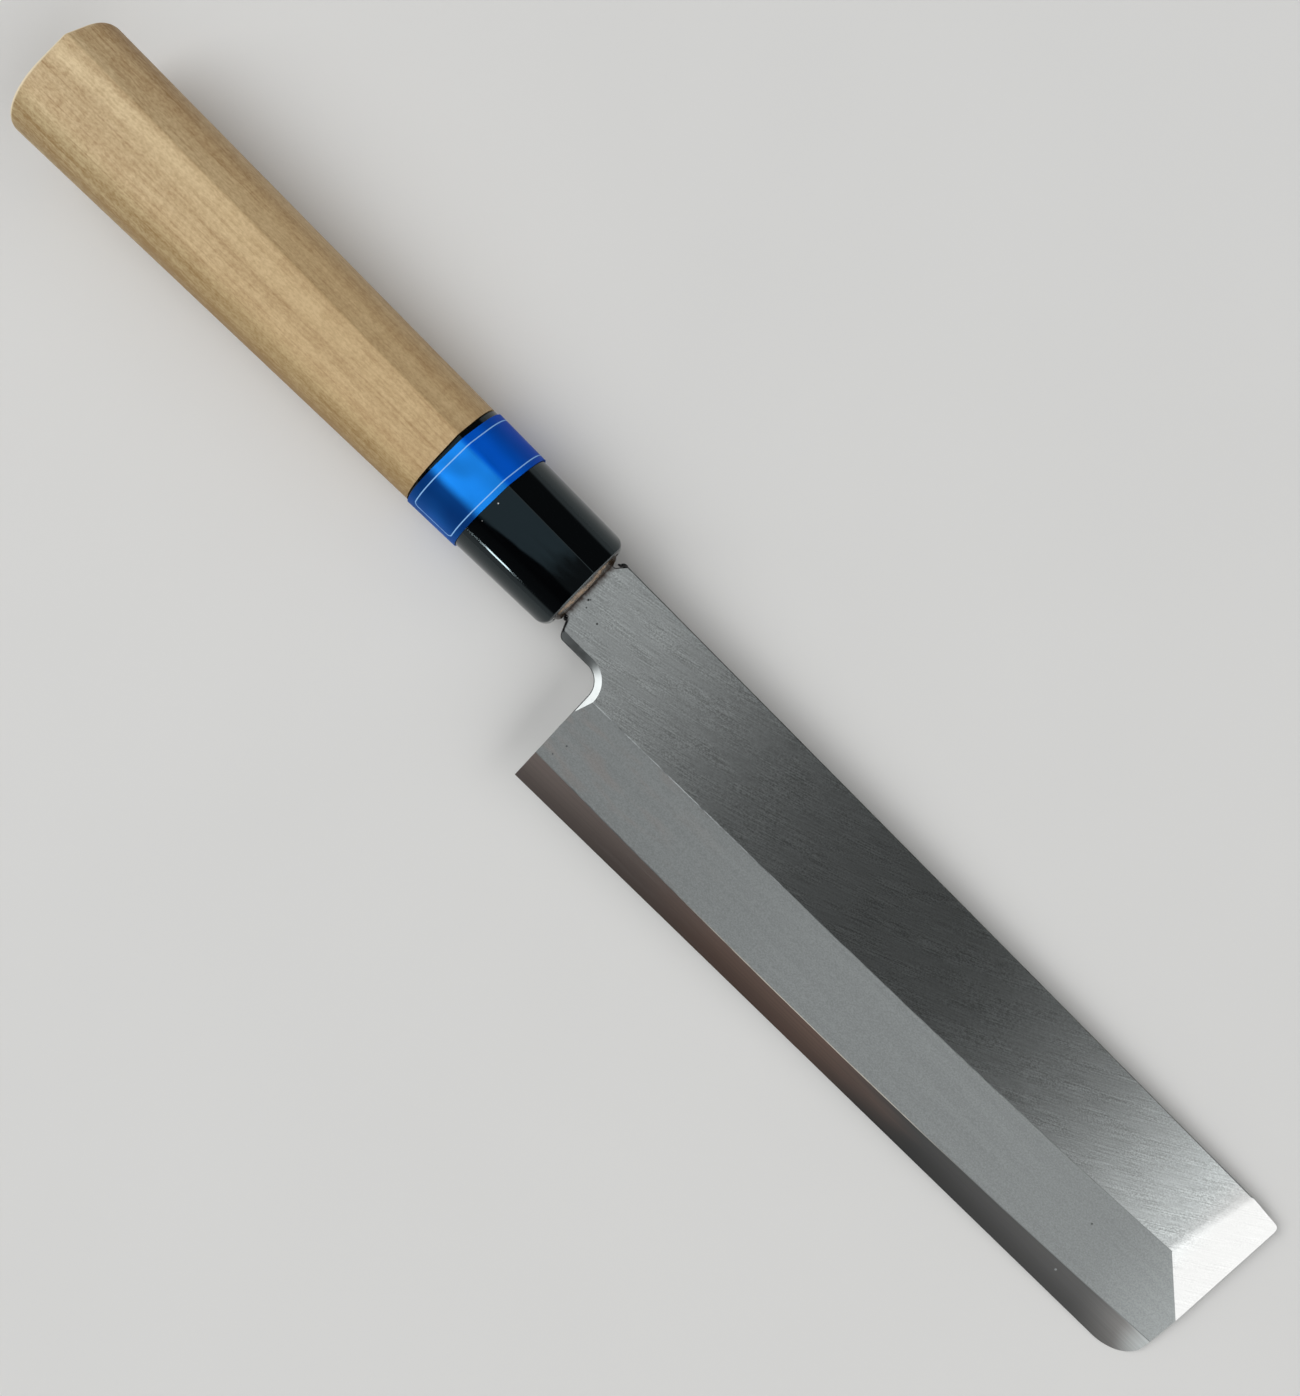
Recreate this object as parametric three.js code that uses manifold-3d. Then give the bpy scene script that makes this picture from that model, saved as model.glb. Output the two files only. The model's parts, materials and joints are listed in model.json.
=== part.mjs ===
// Usuba: a square-tipped, single-bevel vegetable knife with a chestnut-section wooden handle.
// Millimetres, +Z up. +X runs from the handle to the tip and +Y from the cutting edge to the spine.
// The knife lies on its flat back with the bevel up, touching at the collar and at the tip.

import * as THREE from 'three';
import { mergeVertices } from 'three/addons/utils/BufferGeometryUtils.js';
import Module from 'manifold-3d';

const wasm = await Module();
wasm.setup();

// Clearances
const fitGap = 0.3;             // between a piece and the hole or collar it sits in
const foilGap = 0.1;            // under the foil label
const cutMargin = 0.4;          // how far a cutting shape runs past the surface it cuts

// Blade outline, seen from the bevel side
const bladeLength = 165;        // shoulders to tip, along the spine
const bladeHeight = 39.7;       // spine to cutting edge, measured at the shoulders
const shoulderStandoff = 2.9;   // collar's front face to the blade's shoulders
const upperShoulder = 1.7;      // step from tang to spine
const lowerShoulder = 3.6;      // step from tang to the neck's underside
const shoulderLean = 1.5;       // how far both steps run back towards the collar
const shoulderRound = 1;        // rounded foot of the lower step
const spineFall = 2.2;          // drop of the spine from shoulders to tip
const tipEase = 0.4;            // extra drop of the spine in its last stretch
const tipEaseLength = 7;        // length of that stretch
const neckLength = 10.6;        // shoulders to the back of the heel, under the neck
const heelLean = 0.5;           // heel corner ahead of the top of the heel
const choilRadius = 3.8;        // round corner between neck and heel
const tipSlant = 1.9;           // tip leans back by this much at the edge
const tipCornerLength = 8;      // rounded tip corner, along the edge
const tipCornerHeight = 5;      // rounded tip corner, up the tip
const spineCornerRadius = 1.2;  // rounded corner between spine and tip

// Blade thicknesses and grinds
const spineThickness = 3.2;     // at the shoulders
const tipThinning = 0.7;        // thickness lost between shoulders and tip
const bevelHeight = 18.7;       // edge to the bevel's upper line, at the heel
const bevelGrowth = 2.5;        // extra bevel height gained towards the tip
const stripHeight = 5.5;        // steeper polished strip along the edge, at the heel
const stripGrowth = 1;          // extra strip height gained towards the tip
const stripDip = 1;             // strip height lost half-way along
const stripThickness = 1.1;     // thickness where bevel and strip meet
const edgeThickness = 0.12;     // blunt width of the cutting edge
const facetAtSpine = 7.8;       // tip facet's length along the spine
const facetAtBevel = 11.3;      // tip facet's length at the bevel's upper line
const facetDrop = 0.87;         // how far the facet falls to the tip
const chamferWidth = 1.4;       // polished chamfer under the neck
const chamferDepth = 0.6;
const hollowDepth = 0.35;       // hollow grind in the flat back
const hollowRim = 3.4;          // flat rim left round the hollow

// Tang
const tangWidth = 11.8;         // at the collar's mouth
const tangRelief = 0.1;         // hidden tang smaller than the neck end, on each side
const tangLength = 80;          // from the collar's mouth
const tangTipWidth = 6;
const tangTipThickness = 2;

// Handle. Its section at the front is built up from the tang outwards.
const gripLength = 91.6;        // wood that shows behind the collar
const ferruleLength = 32.2;
const ferruleWall = 2;
const tenonWall = 1.65;         // wood above and below the tang, inside the collar
const tenonCheek = 4.5;         // wood on either face of the tang, inside the collar
const buttFlareWidth = 4.1;     // extra width at the butt
const buttFlareThickness = 3.2; // extra thickness at the butt
const sectionPower = 2.2;       // 2 is an ellipse, more is a fuller oval
const ridgeSide = 2.5;          // ridge's distance from the axis at the mouth, towards the spine
const ridgeDrift = 2.45;        // extra distance at the butt
const ridgeRise = 0.65;         // ridge's height above the oval
const buttRound = 0.9;          // rounded edge of the butt
const mouthRound = 1.2;         // rounded front edge of the collar
const sealRecess = 0.15;        // seal's depth in the mouth
const sealThickness = 0.8;
const slotSpare = 0.8;          // slot left open past the tang's lower edge
const labelWidth = 10.9;
const labelSetback = 0.6;       // collar left bare between wood and label
const labelSkew = 0.045;        // forward run of the label per unit towards the spine
const foilThickness = 0.2;

// Smoothness
const ovalPoints = 44;
const bisections = 40;
const roundSteps = 4;
const arcPoints = 10;
const bladeSteps = 8;
const hollowSteps = 12;
const hollowPoints = 8;

// Places worked out from the sizes above
const tangHalf = tangWidth / 2;
const spineRise = tangHalf + upperShoulder;
const neckDrop = tangHalf + lowerShoulder;
const edgeDrop = bladeHeight - spineRise;
const shoulderX = shoulderStandoff;
const tipX = shoulderX + bladeLength;
const heelTopX = shoulderX + neckLength;
const heelX = heelTopX + heelLean;
const backZ = -spineThickness / 2;
const neckEndX = -sealRecess / 2;
const handleLength = gripLength + ferruleLength;
const tenonInset = ferruleWall + fitGap;
const frontHalfWidth = tangHalf + fitGap + tenonWall + tenonInset;
const frontHalfThickness = spineThickness / 2 + fitGap + tenonCheek + tenonInset;
const sealFrontX = -sealRecess;
const sealBackX = sealFrontX - sealThickness;
const tenonFrontX = sealBackX - fitGap;

// A closed solid through rings of points that follow each other along +X.
// Each ring turns anticlockwise when it is seen from the tip.
function loft(rings) {
  const count = rings[0].length;
  const last = (rings.length - 1) * count;
  const index = [];
  for (let ring = 0; ring < rings.length - 1; ring++) {
    for (let point = 0; point < count; point++) {
      const next = (point + 1) % count;
      const a = ring * count + point;
      const b = ring * count + next;
      index.push(a, b, b + count, a, b + count, a + count);
    }
  }
  const flat = (ring) => ring.map((point) => new THREE.Vector2(point.y, point.z));
  for (const [a, b, c] of THREE.ShapeUtils.triangulateShape(flat(rings[0]), [])) {
    index.push(c, b, a);
  }
  for (const [a, b, c] of THREE.ShapeUtils.triangulateShape(flat(rings.at(-1)), [])) {
    index.push(last + a, last + b, last + c);
  }
  const geometry = new THREE.BufferGeometry().setFromPoints(rings.flat());
  return geometry.setIndex(index);
}

// Ring of points at one place along the knife, from [y, z] pairs.
function ringAt(x, pairs) {
  return pairs.map(([y, z]) => new THREE.Vector3(x, y, z));
}

// Geometry to solid, for cutting and joining.
function solidFrom(geometry) {
  const bare = geometry.clone();
  bare.deleteAttribute('normal');
  bare.deleteAttribute('uv');
  const merged = mergeVertices(bare);
  const vertProperties = new Float32Array(merged.getAttribute('position').array);
  const triVerts = new Uint32Array(merged.getIndex().array);
  return new wasm.Manifold(new wasm.Mesh({ numProp: 3, vertProperties, triVerts }));
}

// Finished solid to a named mesh.
function meshFrom(name, solid, material) {
  const { vertProperties, triVerts } = solid.getMesh();
  const geometry = new THREE.BufferGeometry();
  geometry.setAttribute('position', new THREE.BufferAttribute(vertProperties, 3));
  geometry.setIndex(new THREE.BufferAttribute(triVerts, 1));
  geometry.computeVertexNormals();
  const mesh = new THREE.Mesh(geometry, material);
  mesh.name = name;
  return mesh;
}

// A thick slab whose underside is the plane through three points, anticlockwise from above.
function slabAbove(a, b, c, size) {
  const along = b.clone().sub(a).normalize();
  const normal = along.clone().cross(c.clone().sub(a)).normalize();
  const across = normal.clone().cross(along);
  const slab = new THREE.BoxGeometry(size, size, size).translate(0, 0, size / 2);
  return slab.applyMatrix4(new THREE.Matrix4().makeBasis(along, across, normal).setPosition(a));
}

// Share of the way from heel to tip.
const edgeShare = (x) => THREE.MathUtils.clamp((x - heelX) / (tipX - heelX), 0, 1);

const thicknessAt = (x) => spineThickness - tipThinning * (x - shoulderX) / bladeLength;
const spineAt = (x) => spineRise - spineFall * (x - shoulderX) / bladeLength;

// Upper lines of the two grinds. Both widen mostly near the tip, as the cube of the share.
const bevelTopAt = (x) => -edgeDrop + bevelHeight + bevelGrowth * edgeShare(x) ** 3;
function stripTopAt(x) {
  const share = edgeShare(x);
  const dip = stripDip * 4 * share * (1 - share);
  return -edgeDrop + stripHeight - dip + stripGrowth * share ** 3;
}

// Neck underside, round choil and back of the heel, as drawn from left to right.
function drawChoil(path) {
  const centreX = heelTopX - choilRadius;
  const centreY = -neckDrop - choilRadius;
  path.lineTo(centreX, -neckDrop);
  path.absarc(centreX, centreY, choilRadius, Math.PI / 2, 0, true);
}

function bladeOutline() {
  const tipLowX = tipX - tipSlant;
  const cornerX = tipLowX - tipCornerLength;
  const cornerY = -edgeDrop + tipCornerHeight;
  const spineEnd = spineAt(tipX) - tipEase;
  const shape = new THREE.Shape();
  shape.moveTo(heelX, -edgeDrop);
  shape.lineTo(cornerX, -edgeDrop);
  shape.absellipse(cornerX, cornerY, tipCornerLength, tipCornerHeight, -Math.PI / 2, 0, false);
  shape.lineTo(tipX, spineEnd - spineCornerRadius);
  shape.quadraticCurveTo(tipX, spineEnd, tipX - spineCornerRadius, spineEnd);
  shape.lineTo(tipX - tipEaseLength, spineAt(tipX - tipEaseLength));
  shape.lineTo(shoulderX, spineRise);
  shape.lineTo(shoulderX - shoulderLean, tangHalf);
  shape.lineTo(neckEndX, tangHalf);
  shape.lineTo(neckEndX, -tangHalf);
  shape.lineTo(shoulderX - shoulderLean, -tangHalf);
  const footShare = shoulderRound / lowerShoulder;
  shape.lineTo(shoulderX - shoulderLean * footShare, -neckDrop + shoulderRound);
  shape.quadraticCurveTo(shoulderX, -neckDrop, shoulderX + shoulderRound, -neckDrop);
  drawChoil(shape);
  return shape;
}

// Ground cross-section of the blade, longer and wider than the outline that trims it.
function bladeSection(x) {
  const top = backZ + thicknessAt(x);
  const stripTop = backZ + stripThickness;
  const edgeTop = backZ + edgeThickness;
  const stripSlope = (stripTop - edgeTop) / (stripTopAt(x) + edgeDrop);
  const past = Math.min(cutMargin, edgeThickness / stripSlope / 2);
  return ringAt(x, [
    [spineRise + cutMargin, top],
    [bevelTopAt(x), top],
    [stripTopAt(x), stripTop],
    [-edgeDrop - past, edgeTop - stripSlope * past],
    [-edgeDrop - past, backZ],
    [spineRise + cutMargin, backZ],
  ]);
}

// Facet that thins the tip.
function tipFacet() {
  const spineStart = tipX - facetAtSpine;
  const bevelStart = tipX - facetAtBevel;
  const a = new THREE.Vector3(bevelStart, bevelTopAt(bevelStart), backZ + thicknessAt(bevelStart));
  const b = new THREE.Vector3(tipX, bevelTopAt(bevelStart), a.z - facetDrop);
  const c = new THREE.Vector3(spineStart, spineAt(spineStart), backZ + thicknessAt(spineStart));
  return slabAbove(a, b, c, bladeHeight * 2);
}

// Flared plug that fills the space under the neck and chamfers its upper rim.
function choilChamfer() {
  const slope = chamferWidth / chamferDepth;
  const flareHeight = chamferDepth + 2 * cutMargin;
  const flareReach = slope * (chamferDepth + cutMargin);
  const depth = spineThickness * 3;
  const farX = neckEndX - neckLength;
  const shape = new THREE.Shape();
  shape.moveTo(farX, -edgeDrop);
  shape.lineTo(farX, -neckDrop);
  drawChoil(shape);
  shape.lineTo(heelX, -edgeDrop);
  const plug = new THREE.ExtrudeGeometry(shape, {
    depth,
    curveSegments: arcPoints,
    bevelEnabled: true,
    bevelSegments: 1,
    bevelThickness: flareHeight,
    bevelSize: -slope * flareHeight,
    bevelOffset: flareReach,
  });
  const topZ = backZ + thicknessAt(heelX) + cutMargin;
  return plug.translate(0, 0, topZ - flareHeight - depth);
}

// Shallow lens-shaped cutter for the back, fading out at both ends.
function backHollow() {
  const startX = heelX + hollowRim;
  const endX = tipX - tipSlant - hollowRim;
  const rings = [];
  for (let step = 0; step <= hollowSteps; step++) {
    const turn = Math.PI * (step + 0.5) / (hollowSteps + 1);
    const swing = -Math.cos(turn);
    const x = THREE.MathUtils.mapLinear(swing, -1, 1, startX, endX);
    const fullness = Math.sqrt(1 - swing ** 6);
    const top = spineAt(x) - hollowRim;
    const bottom = -edgeDrop + hollowRim;
    const centre = (top + bottom) / 2;
    const half = fullness * (top - bottom) / 2;
    const pairs = [];
    for (let point = 0; point <= hollowPoints; point++) {
      const side = 1 - 2 * point / hollowPoints;
      const rise = fullness * hollowDepth * (1 - side ** 2);
      pairs.push([centre + side * half, backZ + rise]);
    }
    pairs.push([centre - half, backZ - cutMargin]);
    pairs.push([centre + half, backZ - cutMargin]);
    rings.push(ringAt(x, pairs));
  }
  return loft(rings);
}

// Tang, or the slot for it when it is given clearance.
function tangWedge(frontX, clearance, spare) {
  const rectangle = (x, width, thickness) => {
    const up = width / 2 - tangRelief + clearance;
    const down = -up - spare;
    const face = thickness / 2 - tangRelief + clearance;
    return ringAt(x, [[up, face], [down, face], [down, -face], [up, -face]]);
  };
  return loft([
    rectangle(-tangLength - clearance, tangTipWidth, tangTipThickness),
    rectangle(0, tangWidth, spineThickness),
    rectangle(frontX, tangWidth, spineThickness),
  ]);
}

function makeBlade() {
  const rings = [];
  rings.push(bladeSection(neckEndX - cutMargin));
  for (let step = 0; step <= bladeSteps; step++) {
    rings.push(bladeSection(THREE.MathUtils.lerp(heelX, tipX, step / bladeSteps)));
  }
  rings.push(bladeSection(tipX + cutMargin));
  const outline = new THREE.ExtrudeGeometry(bladeOutline(), {
    depth: spineThickness + 2 * cutMargin,
    curveSegments: arcPoints,
    bevelEnabled: false,
  });
  outline.translate(0, 0, backZ - cutMargin);
  return solidFrom(loft(rings))
    .intersect(solidFrom(outline))
    .subtract(solidFrom(tipFacet()))
    .subtract(solidFrom(choilChamfer()))
    .subtract(solidFrom(backHollow()))
    .add(solidFrom(tangWedge(shoulderX + neckLength / 2, 0, 0)));
}

// Point at an angle on the handle's oval, in half-widths and half-thicknesses.
function ovalPoint(angle) {
  const way = new THREE.Vector2(Math.cos(angle), Math.sin(angle));
  const size = Math.abs(way.x) ** sectionPower + Math.abs(way.y) ** sectionPower;
  return way.multiplyScalar(size ** (-1 / sectionPower));
}

// Angle where a flat from the ridge touches the oval, between the ridge's own angle and a far one.
function touchAngle(ridge, from, to) {
  const above = (angle) => {
    const point = ovalPoint(angle);
    const across = Math.sign(point.x) * Math.abs(point.x) ** (sectionPower - 1);
    return ridge.x * across + ridge.y * point.y ** (sectionPower - 1) > 1;
  };
  let near = from;
  let far = to;
  for (let step = 0; step < bisections; step++) {
    const middle = (near + far) / 2;
    if (above(middle)) {
      near = middle;
    } else {
      far = middle;
    }
  }
  return far;
}

// Chestnut section of the handle: an oval with one ridge on the bevel side and a flat on each side of it.
function handleSection(x, inset, skew = 0) {
  const share = -x / handleLength;
  const halfWidth = frontHalfWidth + share * buttFlareWidth / 2 - inset;
  const halfThickness = frontHalfThickness + share * buttFlareThickness / 2 - inset;
  const ridgeY = (ridgeSide + share * ridgeDrift) * halfWidth / (halfWidth + inset);
  const ridgeZ = halfThickness + ridgeRise;
  const ridge = new THREE.Vector2(ridgeY / halfWidth, ridgeZ / halfThickness);
  const start = touchAngle(ridge, ridge.angle(), Math.PI);
  const end = touchAngle(ridge, ridge.angle(), 0) + 2 * Math.PI;
  const pairs = [[ridgeY, ridgeZ]];
  for (let point = 0; point <= ovalPoints; point++) {
    const place = ovalPoint(THREE.MathUtils.lerp(start, end, point / ovalPoints));
    pairs.push([halfWidth * place.x, halfThickness * place.y]);
  }
  return pairs.map(([y, z]) => new THREE.Vector3(x + skew * y, y, z));
}

// Handle-shaped solid through [x, inset] stations, from butt to mouth.
function handleSolid(stations, skew) {
  return solidFrom(loft(stations.map(([x, inset]) => handleSection(x, inset, skew))));
}

// Stations of a rounded end: the inset grows from nothing as the end is reached.
function roundedEnd(endX, radius, direction) {
  const stations = [];
  for (let step = 0; step <= roundSteps; step++) {
    const turn = step / roundSteps * Math.PI / 2;
    stations.push([endX - direction * radius * (1 - Math.sin(turn)), radius * (1 - Math.cos(turn))]);
  }
  return stations;
}

function makeGrip() {
  const shoulder = -ferruleLength - fitGap;
  const butt = roundedEnd(-handleLength, buttRound, -1).reverse();
  const block = handleSolid([...butt, [shoulder, 0]]);
  const tenon = handleSolid([[shoulder - ferruleWall, tenonInset], [tenonFrontX, tenonInset]]);
  return block.add(tenon).subtract(solidFrom(tangWedge(cutMargin, fitGap, slotSpare)));
}

function makeFerrule() {
  const collar = handleSolid([[-ferruleLength, 0], ...roundedEnd(0, mouthRound, 1)]);
  const bore = handleSolid([[-ferruleLength - cutMargin, ferruleWall], [cutMargin, ferruleWall]]);
  return collar.subtract(bore);
}

function makeLabel() {
  const backX = -ferruleLength + labelSetback;
  const frontX = backX + labelWidth;
  const sleeve = handleSolid([[backX, -foilGap - foilThickness], [frontX, -foilGap - foilThickness]], labelSkew);
  const core = handleSolid([[backX - cutMargin, -foilGap], [frontX + cutMargin, -foilGap]], labelSkew);
  return sleeve.subtract(core);
}

function makeSeal() {
  const plug = handleSolid([[sealBackX, tenonInset], [sealFrontX, tenonInset]]);
  return plug.subtract(solidFrom(tangWedge(cutMargin, fitGap, slotSpare)));
}

// Angle at which the knife lies, touching at the collar and at the tip of its back.
function lyingTilt(collar) {
  const places = collar.geometry.getAttribute('position');
  let tilt = 0;
  for (let i = 0; i < places.count; i++) {
    tilt = Math.max(tilt, Math.atan2(backZ - places.getZ(i), tipX - places.getX(i)));
  }
  return tilt;
}

const steel = new THREE.MeshStandardMaterial({ color: 0xb4b6b8, roughness: 0.35, metalness: 1 });
const wood = new THREE.MeshStandardMaterial({ color: 0xc6a375, roughness: 0.6, metalness: 0 });
const blackResin = new THREE.MeshStandardMaterial({ color: 0x14161a, roughness: 0.15, metalness: 0 });
const blueFoil = new THREE.MeshStandardMaterial({ color: 0x2c5cb0, roughness: 0.3, metalness: 0.6 });
const brownResin = new THREE.MeshStandardMaterial({ color: 0x8a4d1c, roughness: 0.3, metalness: 0 });

const blade = meshFrom('blade', makeBlade(), steel);
const ferrule = meshFrom('ferrule', makeFerrule(), blackResin);

const handle = new THREE.Group();
handle.add(meshFrom('handle_grip', makeGrip(), wood));
handle.add(ferrule);
handle.add(meshFrom('label_band', makeLabel(), blueFoil));
handle.add(meshFrom('tang_seal', makeSeal(), brownResin));

const knife = new THREE.Group();
knife.add(blade, handle);
knife.rotation.y = lyingTilt(ferrule);

// The origin is under the middle of the knife, on the surface it lies on.
const box = new THREE.Box3().setFromObject(knife, true);
const middle = box.getCenter(new THREE.Vector3());
knife.position.set(-middle.x, -middle.y, -box.min.z);

export default knife;
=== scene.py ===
"""Usuba knife: finishes the packed part's pieces and sets them on a plain studio stage.

The file is laid out as an add-on and runs as a script. Lengths are metres in the part's own frame,
and the knife's own axes start at the front of the collar: X to the tip, Y to the spine, Z to the bevel side.
"""

import json
import math

import bmesh
import bpy
from bpy.props import FloatProperty, FloatVectorProperty, IntProperty, PointerProperty
from bpy.types import Operator, Panel, PropertyGroup
from mathutils import Matrix, Vector


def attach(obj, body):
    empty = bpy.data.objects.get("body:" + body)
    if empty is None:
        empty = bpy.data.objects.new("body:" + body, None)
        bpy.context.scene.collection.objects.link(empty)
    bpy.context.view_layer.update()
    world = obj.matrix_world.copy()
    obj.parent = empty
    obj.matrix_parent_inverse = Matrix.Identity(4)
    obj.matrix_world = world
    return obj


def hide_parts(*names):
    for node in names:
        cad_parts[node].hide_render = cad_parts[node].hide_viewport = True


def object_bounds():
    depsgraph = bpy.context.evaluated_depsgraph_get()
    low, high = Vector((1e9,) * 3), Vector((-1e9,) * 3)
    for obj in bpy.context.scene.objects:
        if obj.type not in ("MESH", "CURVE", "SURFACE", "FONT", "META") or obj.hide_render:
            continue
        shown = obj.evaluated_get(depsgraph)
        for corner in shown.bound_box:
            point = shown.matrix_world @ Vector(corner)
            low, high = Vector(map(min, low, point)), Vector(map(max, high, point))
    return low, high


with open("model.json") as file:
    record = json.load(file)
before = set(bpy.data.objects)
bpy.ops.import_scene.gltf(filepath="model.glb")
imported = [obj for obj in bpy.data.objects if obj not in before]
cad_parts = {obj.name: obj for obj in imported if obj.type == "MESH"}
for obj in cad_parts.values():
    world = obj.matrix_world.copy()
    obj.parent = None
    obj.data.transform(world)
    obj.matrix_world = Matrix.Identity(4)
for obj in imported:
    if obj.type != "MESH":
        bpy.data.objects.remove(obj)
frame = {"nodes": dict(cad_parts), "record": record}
cad_low, cad_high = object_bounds()

bl_info = {
    "name": "Usuba Knife",
    "version": (1, 0, 0),
    "blender": (4, 5, 0),
    "location": "View3D > Sidebar > Usuba",
    "description": "Finishes the pieces of a square-tipped vegetable knife and its studio stage",
    "category": "Add Mesh",
}

MM = 0.001
BODY = "root"
SPINE_MM = 3.2


# Settings that a user would change

def length(name, description, millimetres):
    """A length setting, written in millimetres and kept in metres."""
    return FloatProperty(
        name=name, description=description, default=millimetres * MM, min=0.0,
        unit="LENGTH", subtype="DISTANCE", precision=5,
    )


def degrees(name, description, angle):
    """An angle setting, written in degrees and kept in radians."""
    return FloatProperty(name=name, description=description, default=math.radians(angle), subtype="ANGLE")


def share(name, description, default, high=1.0):
    """A plain number setting from nothing to a limit."""
    return FloatProperty(name=name, description=description, default=default, min=0.0, max=high)


def colour(name, description, red, green, blue):
    """A colour setting in linear light."""
    return FloatVectorProperty(
        name=name, description=description, default=(red, green, blue), size=3,
        min=0.0, max=1.0, subtype="COLOR",
    )


class BladeSettings(PropertyGroup):
    """Sizes and colours of the blade."""

    spine_thickness: length("Spine Thickness", "Blade thickness at the shoulders", SPINE_MM)
    strip_thickness: length("Strip Thickness", "Thickness where bevel and edge strip meet", 1.1)
    blade_length: length("Blade Length", "Shoulders to tip", 165.0)
    facet_softness: length("Facet Softness", "Half the width of the tip facet's soft start", 1.1)
    line_width: length("Line Width", "Bright lines above the bevel and above the edge strip", 0.16)
    rim_softness: length("Rim Softness", "Rounding of the blade's outer edges", 0.18)
    brushing_start: degrees("Brushing at Neck", "Angle of the brushing to the blade at the neck", 9)
    brushing_end: degrees("Brushing at Tip", "Angle of the brushing to the blade at the tip", 33)
    steel: colour("Steel", "Clad steel of the flat and the bevel", 0.568, 0.6, 0.597)
    core_steel: colour("Core Steel", "Harder steel that shows along the edge", 0.24, 0.236, 0.228)
    tarnish: colour("Tarnish", "Brown bloom along the middle of the edge strip", 0.27, 0.185, 0.152)
    heel_strip: colour("Strip at Heel", "Edge strip at the heel", 0.19, 0.185, 0.178)
    # The edge strip is darker from its middle towards the tip.
    strip_darker: colour("Worn Strip", "Edge strip towards the tip", 0.1, 0.1, 0.099)
    burr: colour("Burr", "Pale burr along the line above the edge strip", 0.5, 0.47, 0.4)
    scale: colour("Forge Scale", "Black scale left on the shoulders", 0.012, 0.011, 0.012)


class HandleSettings(PropertyGroup):
    """Sizes and colours of the grip, collar, label and seal."""

    grip_length: length("Grip Length", "Wood that shows behind the collar", 91.6)
    collar_length: length("Collar Length", "Mouth to wood", 32.2)
    collar_wall: length("Collar Wall", "Thickness of the collar", 2.0)
    mouth_width: length("Mouth Width", "Handle width at the mouth", 20.3)
    mouth_thickness: length("Mouth Thickness", "Handle thickness at the mouth, without the ridge", 17.4)
    butt_flare_width: length("Butt Flare Width", "Extra width at the butt", 4.1)
    butt_flare_thickness: length("Butt Flare Thickness", "Extra thickness at the butt", 3.2)
    oval_power: share("Oval Fullness", "2 is an ellipse, more is fuller", 2.2, 6.0)
    ridge_side: length("Ridge Side", "Ridge's distance from the axis at the mouth", 2.5)
    ridge_drift: length("Ridge Drift", "Extra distance at the butt", 2.45)
    ridge_rise: length("Ridge Rise", "Ridge's height above the oval", 0.65)
    grip_softness: length("Grip Ridge Softness", "Rounding of the ridge on the wood", 0.3)
    collar_softness: length("Collar Ridge Softness", "Rounding of the ridge on the collar", 0.15)
    label_softness: length("Label Ridge Softness", "Rounding of the ridge on the foil", 0.9)
    butt_round: length("Butt Rounding", "Rounded edge of the butt on the edge side", 0.7)
    butt_round_spine: length("Butt Rounding at Spine", "Rounded edge of the butt on the spine side", 1.5)
    mouth_round: length("Mouth Rounding", "Rounded front edge of the collar", 0.4)
    mouth_corner: length("Mouth Corner", "Rounding of the mouth's sides, seen from above", 2.2)
    fit_gap: length("Fit Gap", "Gap between a piece and what it sits in", 0.3)
    label_width: length("Label Width", "Width of the foil label", 10.9)
    label_setback: length("Label Setback", "Collar left bare behind the label", 0.6)
    label_skew: share("Label Skew", "Forward run of the label towards the spine", 0.045)
    foil_gap: length("Foil Gap", "Gap under the foil", 0.1)
    foil_thickness: length("Foil Thickness", "Thickness of the foil", 0.2)
    seal_bulge: length("Seal Bulge", "Rise of the seal towards the tang", 0.95)
    seal_recess: length("Seal Recess", "Depth of the seal in the mouth", 0.15)
    seal_thickness: length("Seal Thickness", "Thickness of the seal", 0.8)
    tang_width: length("Tang Width", "Tang width at the mouth", 11.6)
    tang_thickness: length("Tang Thickness", "Tang thickness at the mouth", 3.0)
    tang_length: length("Tang Length", "Tang length from the mouth", 80.0)
    tang_tip_width: length("Tang Tip Width", "Tang width at its end", 5.8)
    tang_tip_thickness: length("Tang Tip Thickness", "Tang thickness at its end", 1.8)
    slot_spare: length("Slot Spare", "Slot left open past the tang's lower edge", 0.8)
    wood: colour("Wood", "Pale wood of the grip", 0.63, 0.462, 0.25)
    wood_butt: colour("Wood at Butt", "Paler wood towards the butt", 0.74, 0.58, 0.345)
    # Paler wood along the rounded edge of the butt and the front edge.
    wood_pale_edges: colour("Rubbed Wood", "Pale rounded edge of the butt", 0.8, 0.68, 0.47)
    # Dark grain colour, also the colour of the painted shade.
    wood_grain_and_shade: colour("Wood Grain", "Darker streaks in the wood", 0.33, 0.195, 0.078)
    resin: colour("Collar Resin", "Black of the collar", 0.001, 0.0012, 0.0015)
    # Painted highlight along the rounded rim of the collar's mouth.
    resin_rim_highlight: colour("Worn Resin", "Grey rim of the collar's mouth", 0.1, 0.1, 0.1)
    foil: colour("Foil", "Blue of the label", 0.014, 0.29, 1.0)
    foil_shade: colour("Foil in Shade", "Purer blue of the label past the ridge", 0.001, 0.165, 1.0)
    # Navy of the painted shade in the label's crease and on its sides.
    foil_painted_shade: colour("Deep Foil", "Navy of the label's creases and sides", 0.0005, 0.014, 0.13)
    foil_line: colour("Foil Line", "Pale border line of the label", 0.3, 0.58, 0.95)
    seal: colour("Seal", "Brown resin in the mouth", 0.235, 0.155, 0.094)


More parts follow.
